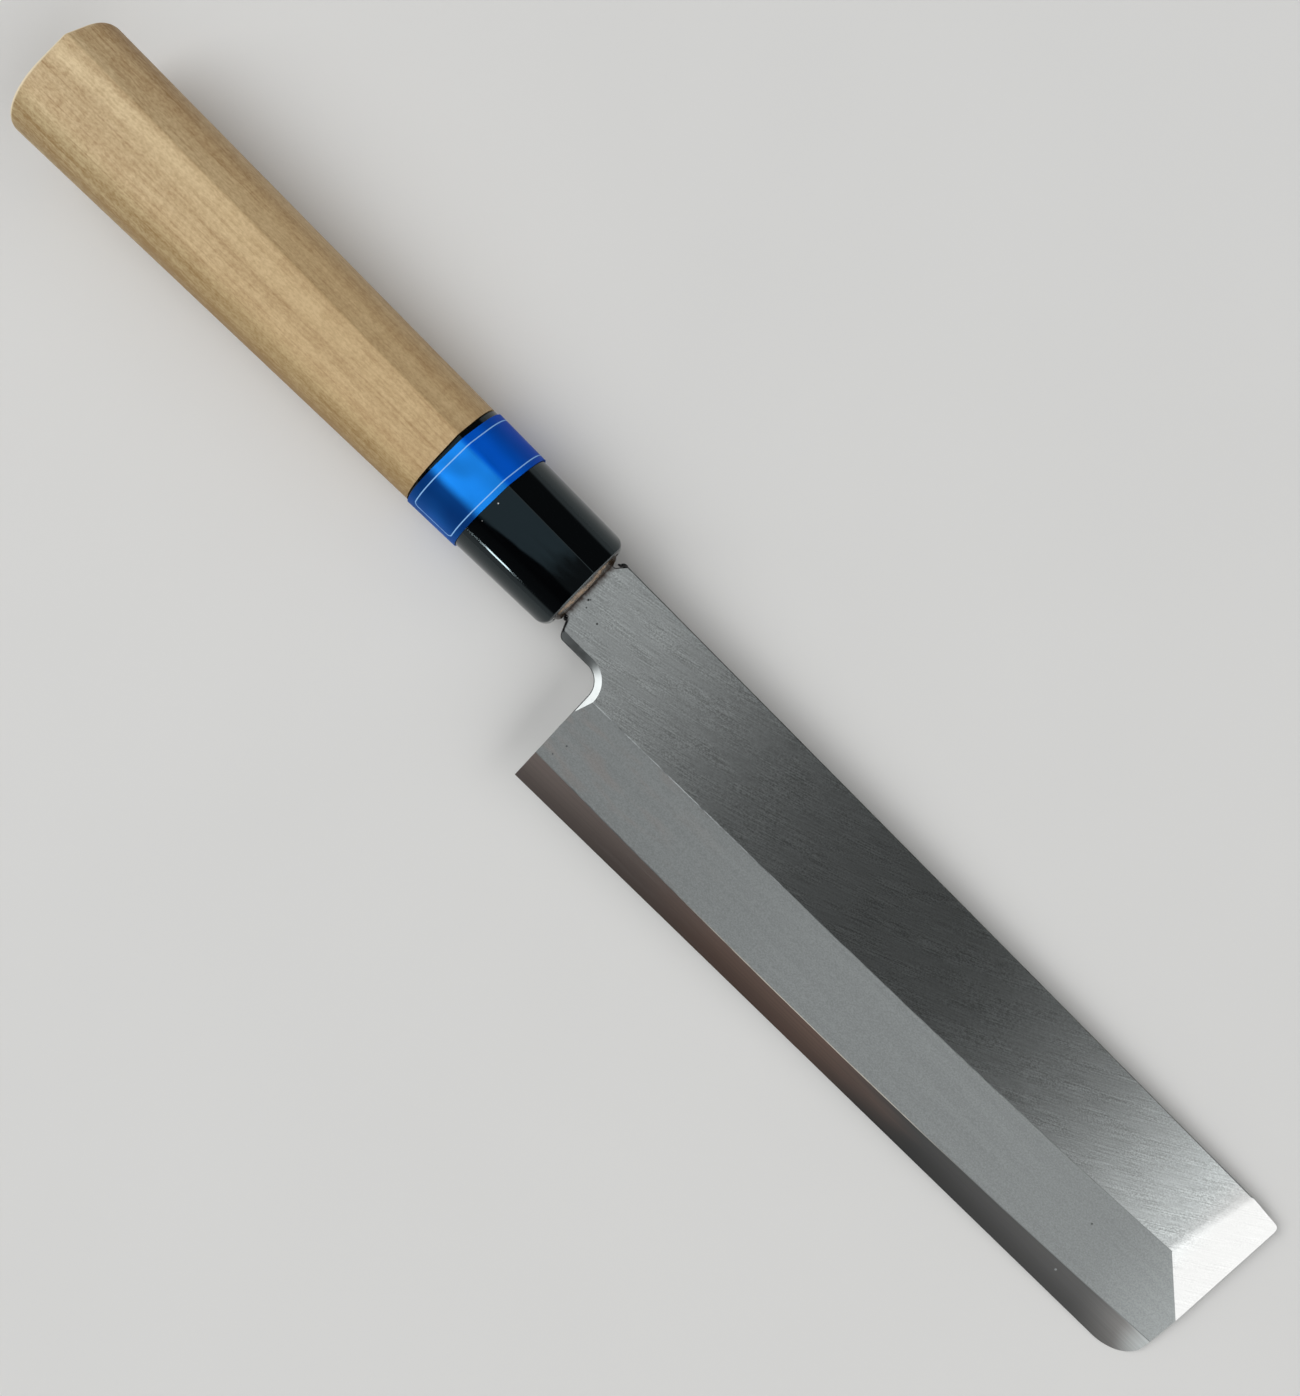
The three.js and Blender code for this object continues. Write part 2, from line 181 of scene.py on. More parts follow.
class StageSettings(PropertyGroup):
    """Camera, floor and light."""

    camera_height: length("Camera Height", "Lens above the floor", 269.4)
    camera_ahead: length("Camera Ahead", "Lens ahead of the collar's front", 21.5)
    camera_side: length("Camera Side", "Lens past the handle's axis, to the edge side", 5.95)
    camera_turn: degrees("Camera Turn", "Turn of the picture about the upright", 44.38)
    focal_pixels: FloatProperty(
        name="Focal Length in Pixels", description="Lens length in pixels of the picture", default=1500,
    )
    picture_height: IntProperty(
        name="Picture Height", description="Long side of the picture in pixels", default=1396,
    )
    floor: colour("Floor", "Plain pale floor", 0.74, 0.735, 0.72)


# The knife's own axes, measured from the packed pieces

def knife_placing():
    """Matrix from the knife's own axes to the frame."""
    back = next(mount for mount in frame["record"]["mounts"] if mount["name"] == "blade_back")
    tilt = Matrix.Rotation(math.atan2(-back["axis"][0], -back["axis"][2]), 4, "Y")
    level = tilt.inverted()
    collar = [level @ vert.co for vert in frame["nodes"]["ferrule"].data.vertices]
    blade = [level @ vert.co for vert in frame["nodes"]["blade"].data.vertices]
    sides = [place.y for place in collar]
    origin = Vector((
        max(place.x for place in collar),
        (min(sides) + max(sides)) / 2,
        min(place.z for place in blade) + SPINE_MM * MM / 2,
    ))
    return tilt @ Matrix.Translation(origin)


knife = knife_placing()


# Ways to build a mesh

RING_POINTS = 120
BISECTIONS = 40
ROUND_STEPS = 8
RIDGE_STEPS = 6
SMOOTH_ANGLE = math.radians(30)


def oval_point(angle, power):
    """Point of the unit oval at an angle."""
    way = Vector((math.cos(angle), math.sin(angle)))
    return way * (abs(way.x) ** power + abs(way.y) ** power) ** (-1 / power)


def touch_angle(ridge, near, far, power):
    """Angle where a flat from the ridge touches the unit oval, between two angles."""
    for _ in range(BISECTIONS):
        middle = (near + far) / 2
        point = oval_point(middle, power)
        across = math.copysign(abs(point.x) ** (power - 1), point.x)
        above = ridge.x * across + ridge.y * point.y ** (power - 1) > 1
        near, far = (middle, far) if above else (near, middle)
    return far


def handle_ring(sizes, x, inset, skew=0.0, rise=1.0):
    """Chestnut section at one place along the handle, ridge first, with a share of the ridge's rise."""
    along = -x / (sizes.grip_length + sizes.collar_length)
    half_width = (sizes.mouth_width + along * sizes.butt_flare_width) / 2 - inset
    half_thickness = (sizes.mouth_thickness + along * sizes.butt_flare_thickness) / 2 - inset
    ridge_y = (sizes.ridge_side + along * sizes.ridge_drift) * half_width / (half_width + inset)
    ridge_z = half_thickness + sizes.ridge_rise * rise
    ridge = Vector((ridge_y / half_width, ridge_z / half_thickness))
    top = math.atan2(ridge.y, ridge.x)
    start = touch_angle(ridge, top, math.pi, sizes.oval_power)
    end = touch_angle(ridge, top, 0.0, sizes.oval_power) + 2 * math.pi
    ring = [Vector((x + skew * ridge_y, ridge_y, ridge_z))]
    for step in range(RING_POINTS - 1):
        point = oval_point(start + (end - start) * step / (RING_POINTS - 2), sizes.oval_power)
        y = half_width * point.x
        ring.append(Vector((x + skew * y, y, half_thickness * point.y)))
    return ring


def slot_ring(sizes, x, clearance):
    """Slot for the tang at one place along the handle, with as many points as the section."""
    along = -x / sizes.tang_length
    up = (sizes.tang_width + along * (sizes.tang_tip_width - sizes.tang_width)) / 2 + clearance
    down = -up - sizes.slot_spare
    face = (sizes.tang_thickness + along * (sizes.tang_tip_thickness - sizes.tang_thickness)) / 2 + clearance
    centre = (up + down) / 2
    ring = []
    for step in range(RING_POINTS):
        angle = math.pi / 2 + 2 * math.pi * step / RING_POINTS
        y, z = math.cos(angle), math.sin(angle)
        stretch = max(abs(y), abs(z))
        ring.append(Vector((x, centre + (up - centre) * y / stretch, face * z / stretch)))
    return ring


def rounded_end(end_x, radius, direction):
    """Places and insets of a rounded end, from the full section to the end."""
    turns = [math.pi / 2 * step / ROUND_STEPS for step in range(ROUND_STEPS + 1)]
    return [(end_x - direction * radius * (1 - math.sin(t)), radius * (1 - math.cos(t))) for t in turns]


def loop_edges(bm, ring):
    """Edges round a ring of vertices."""
    return [bm.edges.get(pair) for pair in zip(ring, ring[1:] + ring[:1])]


def next_ring(bm, ring, places):
    """Extrudes a ring of vertices and puts the new ring in its places."""
    made = bmesh.ops.extrude_edge_only(bm, edges=loop_edges(bm, ring))["geom"]
    fresh = {part for part in made if isinstance(part, bmesh.types.BMVert)}
    grown = []
    for vert, place in zip(ring, places):
        follower = next(e.other_vert(vert) for e in vert.link_edges if e.other_vert(vert) in fresh)
        follower.co = place
        grown.append(follower)
    return grown


def loft(sections, closed=False):
    """A bmesh through sections of points, capped at both ends or closed into a loop, and its rings."""
    bm = bmesh.new()
    ring = bmesh.ops.create_circle(bm, segments=len(sections[0]), radius=1.0)["verts"]
    for vert, place in zip(ring, sections[0]):
        vert.co = place
    rings = [ring]
    for places in sections[1:]:
        rings.append(next_ring(bm, rings[-1], places))
    if closed:
        bmesh.ops.bridge_loops(bm, edges=loop_edges(bm, rings[0]) + loop_edges(bm, rings[-1]))
    else:
        for end in (rings[0], rings[-1]):
            bmesh.ops.contextual_create(bm, geom=loop_edges(bm, end))
    bmesh.ops.recalc_face_normals(bm, faces=bm.faces)
    return bm, rings


def soften_ridge(bm, rings, width):
    """Rounds the ridge that runs through the first point of each ring."""
    ridge = [bm.edges.get((a[0], b[0])) for a, b in zip(rings, rings[1:])]
    bmesh.ops.bevel(
        bm, geom=ridge, offset=width, offset_type="OFFSET", affect="EDGES",
        segments=RIDGE_STEPS, profile=0.5, material=-1,
    )


def add_piece(name, bm, finishes, node):
    """Turns a bmesh in the knife's axes into a piece that stands for a packed node."""
    bmesh.ops.transform(bm, matrix=knife, verts=bm.verts)
    mesh = bpy.data.meshes.new(name)
    bm.to_mesh(mesh)
    bm.free()
    for finish in finishes:
        mesh.materials.append(finish)
    piece = bpy.data.objects.new(name, mesh)
    bpy.context.scene.collection.objects.link(piece)
    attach(piece, BODY)
    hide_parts(node)
    return piece


def shade_smooth(piece):
    """Smooth shading with sharp corners kept, in which each wide face stays flat."""
    piece.data.shade_smooth()
    piece.data.set_sharp_from_angle(angle=SMOOTH_ANGLE)
    flat_faces = piece.modifiers.new("Flat faces", "WEIGHTED_NORMAL")
    flat_faces.keep_sharp = True


# Finishes

# Most of a noise lies between these two.
NOISE_LOW = 0.3
NOISE_HIGH = 0.7
WHITE = (1.0, 1.0, 1.0)


class Nodes:
    """A node tree, with short ways to add the nodes that these finishes and the surround share."""

    def __init__(self, tree):
        self.tree = tree

    def add(self, kind, inputs=None, **fields):
        """Adds a node, sets its fields and fills its inputs with values or other nodes' outputs."""
        node = self.tree.nodes.new(kind)
        for field, value in fields.items():
            setattr(node, field, value)
        for key, value in (inputs or {}).items():
            self.fill(node.inputs[key], value)
        return node

    def fill(self, socket, value):
        """Links an output to a socket, or sets the socket's own value. A bare colour gets its alpha here."""
        if isinstance(value, bpy.types.NodeSocket):
            self.tree.links.new(value, socket)
        elif socket.type == "RGBA" and len(value) == 3:
            socket.default_value = (*value, 1.0)
        else:
            socket.default_value = value

    def math(self, operation, a, b=0.0, c=0.0):
        """One arithmetic step."""
        return self.add("ShaderNodeMath", {0: a, 1: b, 2: c}, operation=operation).outputs[0]

    def times(self, a, b):
        """The product of two values."""
        return self.math("MULTIPLY", a, b)

    def plus(self, base, value, weight=1.0):
        """A base with a weighted value added."""
        return self.math("MULTIPLY_ADD", value, weight, base)

    def vector_math(self, operation, a, b, output="Vector"):
        """One arithmetic step on vectors."""
        return self.add("ShaderNodeVectorMath", {0: a, 1: b}, operation=operation).outputs[output]

    def span(self, value, low, high, to_low=0.0, to_high=1.0):
        """Eases a value from one range into another."""
        node = self.add(
            "ShaderNodeMapRange", {"Value": value, 1: low, 2: high, 3: to_low, 4: to_high},
            interpolation_type="SMOOTHSTEP",
        )
        return node.outputs[0]

    def vary(self, noise, to_low=0.0, to_high=1.0):
        """Eases a noise from where most of it lies into another range."""
        return self.span(noise, NOISE_LOW, NOISE_HIGH, to_low, to_high)

    def band(self, value, start, full, fade, end):
        """One from full to fade, eased to nothing at the start and at the end."""
        return self.times(self.span(value, start, full), self.span(value, end, fade))

    def mix(self, factor, a, b):
        """Blends two colours."""
        return self.add("ShaderNodeMix", {0: factor, 6: a, 7: b}, data_type="RGBA").outputs[2]


class Finish(Nodes):
    """A material with places in the knife's own axes, in millimetres."""

    def __init__(self, name, **sockets):
        self.material = bpy.data.materials.new(name)
        self.material.use_nodes = True
        super().__init__(self.material.node_tree)
        self.shader = self.tree.nodes["Principled BSDF"]
        for socket, value in sockets.items():
            self.set(socket.replace("_", " "), value)
        coordinates = self.add("ShaderNodeTexCoord").outputs["Object"]
        origin, turn, _ = knife.decompose()
        placing = self.add(
            "ShaderNodeMapping", {"Vector": coordinates, "Location": origin, "Rotation": turn.to_euler(),
                                  "Scale": (MM, MM, MM)}, vector_type="TEXTURE",
        )
        self.place = placing.outputs[0]
        axes = self.add("ShaderNodeSeparateXYZ", {0: self.place})
        self.x, self.y, self.z = axes.outputs

    def set(self, socket, value):
        """Fills one of the shader's sockets."""
        self.fill(self.shader.inputs[socket], value)

    def noise(self, along, across, through=None, vector=None, detail=2.0, roughness=0.5, distortion=0.0):
        """Noise whose grains have their own length, width and depth, in millimetres."""
        sizes = (1 / along, 1 / across, 1 / (through or across))
        stretched = self.add("ShaderNodeMapping", {"Vector": vector or self.place, "Scale": sizes}).outputs[0]
        inputs = {"Vector": stretched, "Scale": 1.0, "Detail": detail, "Roughness": roughness,
                  "Distortion": distortion}
        return self.add("ShaderNodeTexNoise", inputs).outputs[0]

    def shades(self, factor, colour_value, low, high):
        """A colour between two of its shades."""
        return self.mix(factor, shaded(colour_value, low), shaded(colour_value, high))

    def spot(self, x, y, radius, core=0.4):
        """One in the core of a round spot, a share of its radius wide, and nothing outside the spot."""
        flat = self.vector_math("MULTIPLY", self.place, (1, 1, 0))
        gap = self.vector_math("DISTANCE", flat, (x, y, 0), "Value")
        return self.span(gap, radius, radius * core)

    def bump(self, height, distance_mm):
        """Raises the surface by a height from nothing to one, given how far one is."""
        inputs = {"Height": height, "Distance": distance_mm * MM, "Strength": 1.0}
        self.set("Normal", self.add("ShaderNodeBump", inputs).outputs[0])

    def made(self, tone, roughness):
        """Sets the colour and the roughness, and gives the finished material."""
        self.set("Base Color", tone)
        self.set("Roughness", roughness)
        return self.material


def shaded(colour_value, factor):
    """A colour made darker or lighter by a factor."""
    return tuple(min(1.0, channel * factor) for channel in colour_value)


def brushed_steel(blade):
    """The flat and the tip facet: fine curved brushing, a few pits, and scale on the lower step."""
    finish = Finish("flat_brushed_steel", Metallic=1.0, Anisotropic=0.83)
    # The brushing runs in wide arcs about a far centre, from its angle at the neck to that at the tip.
    face_length = blade.blade_length / MM
    radius = face_length / (blade.brushing_end - blade.brushing_start)
    middle = (blade.brushing_start + blade.brushing_end) / 2
    centre = (face_length / 2 - radius * math.sin(middle), radius * math.cos(middle), 0.0)
    flat = finish.vector_math("MULTIPLY", finish.place, (1, 1, 0))
    reach = finish.math("SUBTRACT", finish.vector_math("DISTANCE", flat, centre, "Value"), radius)
    # Light spreads across the brushing at the neck.
    across = {0: -math.sin(blade.brushing_start), 1: math.cos(blade.brushing_start)}
    finish.set("Tangent", finish.add("ShaderNodeCombineXYZ", across).outputs[0])
    arcs = finish.add("ShaderNodeCombineXYZ", {0: finish.x, 1: reach}).outputs[0]
    fine = finish.noise(6.0, 0.22, vector=arcs, roughness=0.6)
    grit = finish.noise(0.34, 0.26, detail=1.0)
    scratches = finish.plus(finish.times(fine, 0.55), grit, 0.45)
    # Some patches are scratched more than others, and the facet hardly at all.
    to_facet = finish.span(finish.x, face_length - 12.0, face_length - 4.0)
    patches = finish.noise(9.0, 2.5, vector=arcs)
    strength = finish.times(finish.vary(patches, 0.45, 1.45), finish.plus(1.0, to_facet, -0.8))
    grain = finish.plus(0.5, finish.math("SUBTRACT", scratches, 0.5), strength)
    tone = finish.shades(finish.span(grain, 0.25, 0.75), blade.steel, 0.62, 1.35)
    # The facet is a shade warmer.
    warm = finish.mix(to_facet, WHITE, (1.05, 0.998, 0.99))
    tone = finish.vector_math("MULTIPLY", tone, warm)
    pits = ((1.98, -1.27, 0.28), (2.66, -2.48, 0.18), (5.94, -3.21, 0.24), (2.25, -1.0, 0.16))
    for x, y, size in pits:
        tone = finish.mix(finish.spot(x, y, size), tone, blade.scale)
    # Grime from the seal, with painted shade by the collar, dulls the first two millimetres.
    ragged = finish.noise(1.2, 0.8, detail=3.0)
    grime_and_shade = finish.span(finish.plus(finish.x, ragged, -1.2), 1.9, 0.0)
    grime_and_shade = finish.math("POWER", grime_and_shade, 2.0)
    tone = finish.mix(grime_and_shade, tone, shaded(blade.tarnish, 0.3))
    # Scale follows the leaning lower step: its line in the blade's face, and its upper end.
    step_lean = 0.417
    step = finish.plus(finish.plus(finish.x, ragged, -0.3), finish.y, step_lean)
    below_neck = finish.span(finish.y, -5.6, -6.6)
    tone = finish.mix(finish.times(finish.span(step, -0.62, -0.9), below_neck), tone, blade.scale)
    cloud = finish.noise(20.0, 12.0, detail=1.0)
    return finish.made(tone, finish.vary(cloud, 0.277, 0.287))


def matte_steel(blade):
    """The bevel: an even haze with fine grit and faint lines along the edge."""
    finish = Finish("bevel_matte_steel", Metallic=1.0)
    grit = finish.noise(0.34, 0.26, roughness=0.6)
    lines = finish.noise(45.0, 1.6)
    mottle = finish.plus(finish.times(lines, 0.18), grit, 0.82)
    tone = finish.shades(finish.vary(mottle), blade.steel, 0.45, 0.61)
    # It lightens a little towards the middle and again towards the tip.
    for start, end, before, after in ((10.0, 90.0, 0.9, 1.08), (146.0, 170.0, 1.0, 1.35)):
        tone = finish.vector_math("MULTIPLY", tone, finish.span(finish.x, start, end, before, after))
    # Brown smudges lie near the heel.
    smudge = finish.noise(9.0, 2.0)
    heel = finish.times(finish.span(smudge, 0.45, 0.7, 0.0, 0.16), finish.span(finish.x, 60.0, 20.0))
    tone = finish.mix(heel, tone, shaded(blade.tarnish, 1.4))
    pits = ((17.0, -22.1, 0.24), (16.2, -24.8, 0.2), (143.0, -17.8, 0.26))
    for x, y, size in pits:
        tone = finish.mix(finish.spot(x, y, size), tone, shaded(blade.steel, 0.2))
    finish.bump(grit, 0.004)
    return finish.made(tone, finish.vary(grit, 0.56, 0.64))


def edge_steel(blade):
    """The strip along the edge: grey at the heel, brown on its middle, dark beyond and clean at the tip, with
    painted shade and a painted highlight across it.
    """
    finish = Finish("edge_core_steel", Metallic=1.0)
    fine = finish.noise(25.0, 0.3, detail=3.0, roughness=0.6)
    cloud = finish.noise(30.0, 3.0)
    drift = finish.plus(finish.x, finish.math("SUBTRACT", cloud, 0.5), 20.0)
    tone = finish.mix(finish.span(drift, 36.0, 64.0, 0.5, 1.0), blade.heel_strip, blade.tarnish)
    tone = finish.mix(finish.span(drift, 82.0, 110.0), tone, blade.strip_darker)
    tone = finish.mix(finish.span(finish.x, 150.0, 168.0), tone, blade.core_steel)
    # Painted shade and highlight stand in for the strip's rounding: darker towards the edge, lighter towards
    # the bevel, and a painted highlight at the tip's corner.
    tone = finish.vector_math("MULTIPLY", tone, finish.span(finish.y, -32.0, -26.8, 0.76, 1.3))
    tone = finish.mix(finish.spot(166.0, -26.8, 6.4, 0.0), tone, shaded(blade.steel, 0.85))
    tone = finish.mix(finish.span(fine, 0.3, 0.75, 0.0, 0.24), tone, shaded(blade.core_steel, 0.4))
    tone = finish.mix(finish.spot(144.7, -28.2, 0.3), tone, shaded(blade.steel, 0.5))
    return finish.made(tone, finish.span(fine, 0.25, 0.75, 0.33, 0.39))


def line_steel(blade):
    """The lines where two grinds meet: the upper carries a painted highlight near the heel, the lower is pale
    on its middle.
    """
    finish = Finish("line_bright_steel")
    patchiness = finish.noise(3.0, 3.0, detail=3.0)
    on_upper = finish.span(finish.y, -22.0, -18.0)
    on_lower = finish.span(finish.y, -18.0, -22.0)
    upper = finish.times(finish.span(finish.x, 75.0, 30.0, 0.15, 1.0), on_upper)
    lower = finish.times(finish.band(finish.x, 40.0, 70.0, 100.0, 125.0), on_lower)
    # Painted highlight: the upper line is lighter near the heel, in patches.
    bright = finish.times(finish.span(patchiness, 0.3, 0.6), upper)
    tone = finish.shades(bright, blade.steel, 0.42, 1.05)
    burr = finish.times(finish.span(patchiness, 0.3, 0.5, 0.7, 1.0), lower)
    finish.set("Metallic", finish.span(burr, 0.0, 1.0, 1.0, 0.0))
    return finish.made(finish.mix(burr, tone, blade.burr), finish.vary(patchiness, 0.35, 0.5))


def polished_steel(blade):
    """The chamfer under the neck: polished, darker by the collar and lighter further along the curve, with
    scale only by the step.
    """
    finish = Finish("chamfer_polished_steel", Metallic=1.0)
    cloud = finish.noise(1.6, 1.6)
    scorched = finish.span(finish.plus(finish.x, cloud), 3.6, 2.9)
    lighter_part = finish.span(finish.plus(finish.x, cloud, 1.5), 8.0, 13.0)
    tone = finish.shades(lighter_part, blade.steel, 0.5, 0.6)
    return finish.made(finish.mix(scorched, tone, blade.scale), finish.vary(cloud, 0.28, 0.34))


def painted_shade_rim_steel(blade):
    """Spine, heel, tip and shoulders: ground steel painted dark, so the rounded outer edges show a line of
    painted shade, with forge scale near the collar.
    """
    finish = Finish("rim_steel_painted_shade", Metallic=1.0)
    lines = finish.noise(0.5, 0.5, detail=4.0, roughness=0.6)
    scale = finish.span(finish.plus(finish.x, lines, 2.0), 5.0, 3.8)
    # Painted shade: the steel is kept very dark along the rims.
    tone = finish.shades(finish.vary(lines), blade.steel, 0.16, 0.34)
    finish.set("Metallic", finish.span(scale, 0.0, 1.0, 1.0, 0.0))
    finish.bump(lines, 0.006)
    return finish.made(finish.mix(scale, tone, blade.scale), finish.span(scale, 0.0, 1.0, 0.4, 0.7))


def back_steel(blade):
    """The flat back: lines across the hollow and a polished rim."""
    finish = Finish("back_hollow_steel", Metallic=1.0)
    across = finish.noise(0.2, 12.0, 4.0, detail=3.0)
    broad = finish.noise(1.4, 20.0, 4.0)
    grain = finish.plus(finish.times(across, 0.5), broad, 0.5)
    scale = finish.span(finish.plus(finish.x, across, 2.0), 4.0, 2.4)
    tone = finish.shades(finish.vary(grain), blade.steel, 0.85, 1.05)
    finish.bump(grain, 0.003)
    return finish.made(finish.mix(scale, tone, blade.scale), finish.span(across, 0.25, 0.75, 0.26, 0.36))


def pale_wood(handle):
    """Straight-grained pale wood: growth lines, fibres, flecks, a faint shimmer, and painted shade towards
    the edge side and beyond the ridge.
    """
    finish = Finish("grip_pale_wood", Specular_IOR_Level=0.35)
    # Growth lines are wide arcs about a pith outside the grip, so the butt shows them too.
    pith = (0.0, -34.0, -52.0)
    section = finish.vector_math("MULTIPLY", finish.place, (0, 1, 1))
    reach = finish.vector_math("DISTANCE", section, pith, "Value")
    sway = finish.noise(70.0, 16.0)
    ring_width = 2.3
    growth = finish.plus(reach, sway, 5.0)
    phase = finish.math("FRACT", finish.math("DIVIDE", growth, ring_width))
    late = finish.math("POWER", phase, 3.0)
    fibres = finish.noise(5.0, 0.4, detail=3.0, roughness=0.6)
    bands = finish.noise(80.0, 2.6, detail=3.0, roughness=0.55)
    lines = finish.noise(55.0, 0.6)
    flecks = finish.noise(0.8, 0.36, detail=3.0, roughness=0.65)
    shimmer = finish.noise(1.6, 4.0, distortion=0.6)
    # The flat beyond the ridge is darker right from the ridge: painted shade on the spine side.
    butt = -(handle.collar_length + handle.grip_length) / MM
    along = finish.math("DIVIDE", finish.x, butt)
    ridge = finish.plus(handle.ridge_side / MM, along, handle.ridge_drift / MM)
    beyond = finish.math("SUBTRACT", finish.y, ridge)
    # Each layer darkens the wood; the one across the handle towards the edge side and the one beyond the
    # ridge are painted shade.
    dark = finish.plus(finish.span(fibres, 0.3, 0.75, 0.02, 0.2), late, 0.12)
    layers = (
        (bands, 0.35, 0.68, -0.02, 0.3),
        (flecks, 0.3, 0.72, -0.1, 0.26),
        (shimmer, 0.3, 0.7, -0.05, 0.08),
        (lines, 0.55, 0.72, 0.0, 0.22),
        (finish.y, -5.0, -11.0, 0.0, 0.46),
        (beyond, 0.0, 0.4, 0.0, 0.19),
    )
    for layer in layers:
        dark = finish.plus(dark, finish.span(*layer))
    # Painted shade: away from the butt the wood darkens towards the edge and lightens by the ridge, and at
    # the butt it darkens beyond the ridge.
    to_butt = finish.span(finish.x, butt / 2, butt)
    from_butt = finish.math("SUBTRACT", 1.0, to_butt)
    dark = finish.plus(dark, finish.span(finish.y, 4.0, -10.0, -0.08, 0.14), from_butt)
    dark = finish.plus(dark, finish.span(beyond, 0.0, 6.0, 0.0, 0.3), to_butt)
    fresh = finish.mix(to_butt, handle.wood, handle.wood_butt)
    tone = finish.mix(finish.math("MINIMUM", dark, 1.0), fresh, handle.wood_grain_and_shade)
    # The painted shade towards the edge side is a little greener.
    shade_tint = finish.mix(finish.span(finish.y, -5.0, -9.0), WHITE, (0.92, 0.975, 0.96))
    tone = finish.vector_math("MULTIPLY", tone, shade_tint)
    # The rounded edge of the butt and the front edge by the collar are paler.
    pale_edges = finish.band(finish.x, butt, butt + 0.15, butt + 0.4, butt + 0.8)
    front = -handle.collar_length / MM
    pale_edges = finish.plus(pale_edges, finish.span(finish.x, front - 0.32, front - 0.2, 0.0, 0.7))
    tone = finish.mix(pale_edges, tone, handle.wood_pale_edges)
    finish.bump(finish.plus(fibres, flecks, 0.5), 0.02)
    return finish.made(tone, finish.vary(fibres, 0.5, 0.62))


def black_resin(handle):
    """The collar: black resin polished to a mirror, with two specks, faint wiping marks and a painted
    highlight along the mouth's rim.
    """
    finish = Finish("collar_black_resin", Specular_IOR_Level=0.55, Specular_Tint=(0.72, 0.94, 1.0))
    wiping = finish.noise(9.0, 1.2, detail=3.0)
    tone = handle.resin
    above = finish.span(finish.z, 0.0, 1.0)
    specks = ((-19.79, -0.44, 0.15, 0.8), (-19.77, -4.41, 0.14, 0.2))
    for x, y, size, level in specks:
        speck = finish.times(finish.spot(x, y, size), above)
        tone = finish.mix(speck, tone, (level, level, level))
    # Painted highlight: a grey band along the rounded rim of the mouth.
    lighter_part = finish.band(finish.x, -0.26, -0.2, -0.12, -0.06)
    tone = finish.mix(lighter_part, tone, handle.resin_rim_highlight)
    ripple = finish.noise(6.0, 2.2, detail=1.0)
    finish.bump(ripple, 0.012)
    return finish.made(tone, finish.span(wiping, 0.3, 0.75, 0.03, 0.08))


def blue_foil(handle):
    """The label: blue metal foil with a pale border line, soft dents and painted shade."""
    finish = Finish("label_blue_foil", Specular_Tint=(0.1, 0.45, 1.0))
    back = -handle.collar_length / MM + handle.label_setback / MM
    width = handle.label_width / MM
    run = finish.plus(finish.math("SUBTRACT", finish.x, back), finish.y, -handle.label_skew)
    collar_radius = 9.8
    girth = finish.times(finish.math("ARCTAN2", finish.z, finish.y), collar_radius)
    # The border line follows a box with round corners, laid along the collar and round it.
    low = (1.46, math.radians(-30) * collar_radius)
    high = (width - 1.1, math.radians(161) * collar_radius)
    corner = 0.9
    beyond = []
    for place, start, end in zip((run, girth), low, high):
        off_middle = finish.math("ABSOLUTE", finish.math("SUBTRACT", place, (start + end) / 2))
        beyond.append(finish.math("SUBTRACT", off_middle, (end - start) / 2 - corner))
    outside = [finish.math("MAXIMUM", value, 0.0) for value in beyond]
    squares = finish.plus(finish.times(outside[1], outside[1]), outside[0], outside[0])
    round_part = finish.math("SQRT", squares)
    inside = finish.math("MINIMUM", finish.math("MAXIMUM", *beyond), 0.0)
    gap = finish.math("SUBTRACT", finish.plus(round_part, inside), corner)
    line_half = 0.088
    blur = 0.05
    lines = finish.span(finish.math("ABSOLUTE", gap), line_half + blur, line_half - blur)
    dents = finish.noise(6.0, 4.5, detail=0.0)
    # Painted shade: the foil is darker blue in patches with the dents, besides their bump.
    tone = finish.mix(finish.vary(dents), shaded(handle.foil, 0.7), handle.foil)
    # Painted shade: a soft crease on the edge side and the turn towards the spine lie in their own darker
    # blues, and the spine side is darker still.
    tone = finish.mix(finish.span(finish.y, 2.3, 3.3), tone, handle.foil_shade)
    faded = finish.span(finish.y, -11.0, -7.0, 0.75, 1.0)
    crease = finish.times(finish.span(finish.y, -3.3, -5.3, 0.0, 0.86), faded)
    tone = finish.mix(crease, tone, handle.foil_painted_shade)
    tone = finish.mix(finish.span(finish.y, 5.0, 9.0, 0.0, 0.65), tone, handle.foil_painted_shade)
    finish.set("Metallic", finish.span(lines, 0.0, 1.0, 0.6, 0.0))
    finish.bump(dents, 0.12)
    return finish.made(finish.mix(lines, tone, handle.foil_line), finish.vary(dents, 0.46, 0.4))


def brown_resin(handle):
    """The seal: brown resin with a pale band. Grime and painted shade darken it against the steel and against
    the collar.
    """
    finish = Finish("seal_brown_resin", Coat_Weight=0.12, Coat_Roughness=0.1, Specular_IOR_Level=0.15)
    mottle = finish.noise(0.9, 0.7, detail=4.0, roughness=0.6)
    tone = finish.shades(finish.vary(mottle), handle.seal, 0.5, 1.6)
    height = finish.plus(finish.math("ABSOLUTE", finish.z), mottle, 1.6)
    # Outside the pale band the seal is dark: grime with painted shade in the recess.
    pale_band = finish.band(height, 4.0, 5.4, 6.4, 6.8)
    finish.bump(mottle, 0.08)
    return finish.made(finish.mix(pale_band, shaded(handle.seal, 0.1), tone), finish.vary(mottle, 0.2, 0.4))


def pale_floor(stage):
    """The floor: plain and pale, with the faintest unevenness."""
    finish = Finish("stage_floor")
    cloud = finish.noise(60.0, 60.0)
    tone = finish.shades(cloud, stage.floor, 0.98, 1.02)
    return finish.made(tone, 0.7)


# The blade

